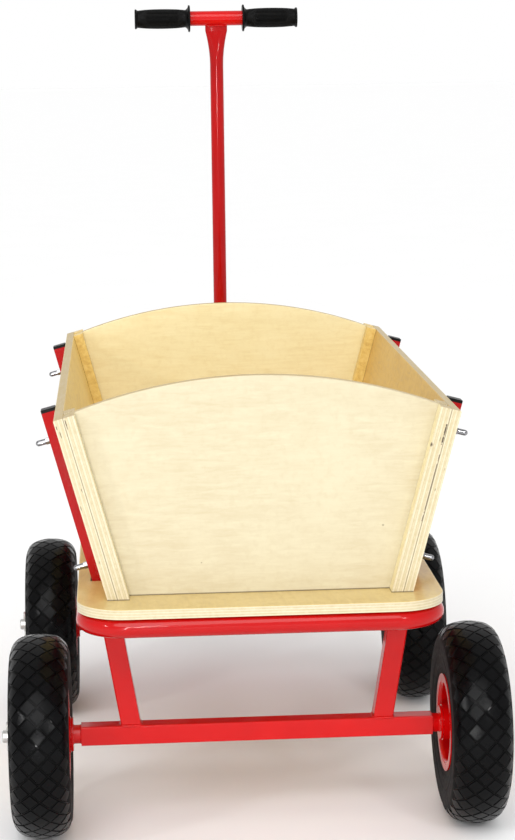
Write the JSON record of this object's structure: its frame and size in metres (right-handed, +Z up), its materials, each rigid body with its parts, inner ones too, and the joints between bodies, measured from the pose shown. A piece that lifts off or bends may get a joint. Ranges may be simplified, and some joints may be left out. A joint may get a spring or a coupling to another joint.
{
  "type": "hand wagon",
  "caption": "Plywood-box hand wagon on a steel tube frame with air tyres, steered by a folding T-handle drawbar; its sides and end panels lift out.",
  "frame": {"origin": "on the ground, midway between the frame's rear edge and the nose of the drawbar bracket, on the centre line", "axes": "+Z up, +Y forward towards the drawbar, +X to the wagon's right"},
  "size_m": [0.6518, 1.0204, 1.0602],
  "materials": {
    "red_paint": "glossy red paint",
    "plywood": "clear-lacquered plywood",
    "zinc_steel": "zinc-plated steel",
    "bearing_steel": "ground steel",
    "chrome": "bright chrome",
    "black_plastic": "moulded black plastic",
    "white_plastic": "plain nylon",
    "tyre": "matt black rubber",
    "inner_tube_rubber": "smooth butyl rubber"
  },
  "bodies": {
    "frame": {"frame_ring": "red_paint", "rear_cross_member": "red_paint", "pivot_cross_member": "red_paint", "front_cross_member": "red_paint", "stake_sockets": "red_paint", "rear_legs": "red_paint", "rear_axle_beam": "red_paint", "rear_axle": "zinc_steel", "rear_axle_washers": "zinc_steel", "rear_split_pins": "zinc_steel", "floor_board": "plywood", "pivot_plate": "red_paint", "kingpin": "zinc_steel", "kingpin_nut": "zinc_steel", "thrust_washer": "white_plastic"},
    "left_wall": {"left_side_board": "plywood", "left_battens": "plywood", "left_stakes": "red_paint", "left_stake_caps": "black_plastic", "left_studs": "zinc_steel", "left_dome_nuts": "chrome"},
    "right_wall": {"right_side_board": "plywood", "right_battens": "plywood", "right_stakes": "red_paint", "right_stake_caps": "black_plastic", "right_studs": "zinc_steel", "right_dome_nuts": "chrome"},
    "rear_panel": {"rear_panel": "plywood"},
    "front_panel": {"front_panel": "plywood"},
    "steering": {"steering_plate": "red_paint", "front_legs": "red_paint", "front_axle_beam": "red_paint", "front_axle": "zinc_steel", "front_axle_washers": "zinc_steel", "front_split_pins": "zinc_steel", "drawbar_strut": "red_paint", "drawbar_bracket": "red_paint", "hinge_bolt": "zinc_steel", "hinge_nut": "zinc_steel"},
    "drawbar": {"drawbar_pole": "red_paint", "drawbar_crossbar": "red_paint", "left_grip": "black_plastic", "right_grip": "black_plastic"},
    "rear_left_wheel": {"rear_left_tyre": "tyre", "rear_left_inner_tube": "inner_tube_rubber", "rear_left_rim_halves": "red_paint", "rear_left_bearings": "bearing_steel"},
    "rear_right_wheel": {"rear_right_tyre": "tyre", "rear_right_inner_tube": "inner_tube_rubber", "rear_right_rim_halves": "red_paint", "rear_right_bearings": "bearing_steel"},
    "front_left_wheel": {"front_left_tyre": "tyre", "front_left_inner_tube": "inner_tube_rubber", "front_left_rim_halves": "red_paint", "front_left_bearings": "bearing_steel"},
    "front_right_wheel": {"front_right_tyre": "tyre", "front_right_inner_tube": "inner_tube_rubber", "front_right_rim_halves": "red_paint", "front_right_bearings": "bearing_steel"}
  },
  "joints": [
    {"name": "rear_left_wheel_spin", "type": "hinge", "parent": "frame", "child": "rear_left_wheel", "pos_m": [-0.276, -0.34475, 0.13], "axis": [1, 0, 0], "continuous": true},
    {"name": "rear_right_wheel_spin", "type": "hinge", "parent": "frame", "child": "rear_right_wheel", "pos_m": [0.276, -0.34475, 0.13], "axis": [1, 0, 0], "continuous": true},
    {"name": "front_left_wheel_spin", "type": "hinge", "parent": "steering", "child": "front_left_wheel", "pos_m": [-0.276, 0.21525, 0.13], "axis": [1, 0, 0], "continuous": true},
    {"name": "front_right_wheel_spin", "type": "hinge", "parent": "steering", "child": "front_right_wheel", "pos_m": [0.276, 0.21525, 0.13], "axis": [1, 0, 0], "continuous": true},
    {"name": "steering_turn", "type": "hinge", "parent": "frame", "child": "steering", "pos_m": [0, 0.21525, 0.286], "axis": [0, 0, 1], "range_deg": [-35, 35]},
    {"name": "drawbar_fold", "type": "hinge", "parent": "steering", "child": "drawbar", "pos_m": [0, 0.49525, 0.19], "axis": [-1, 0, 0], "range_deg": [0, 103]},
    {"name": "rear_panel_lift", "type": "slide", "parent": "frame", "child": "rear_panel", "axis": [0, 0, 1], "range_m": [0, 0.24]},
    {"name": "front_panel_lift", "type": "slide", "parent": "frame", "child": "front_panel", "axis": [0, 0, 1], "range_m": [0, 0.24]},
    {"name": "left_wall_lift", "type": "slide", "parent": "frame", "child": "left_wall", "axis": [-0.2588, 0, 0.9659], "range_m": [0, 0.06]},
    {"name": "right_wall_lift", "type": "slide", "parent": "frame", "child": "right_wall", "axis": [0.2588, 0, 0.9659], "range_m": [0, 0.06]}
  ]
}
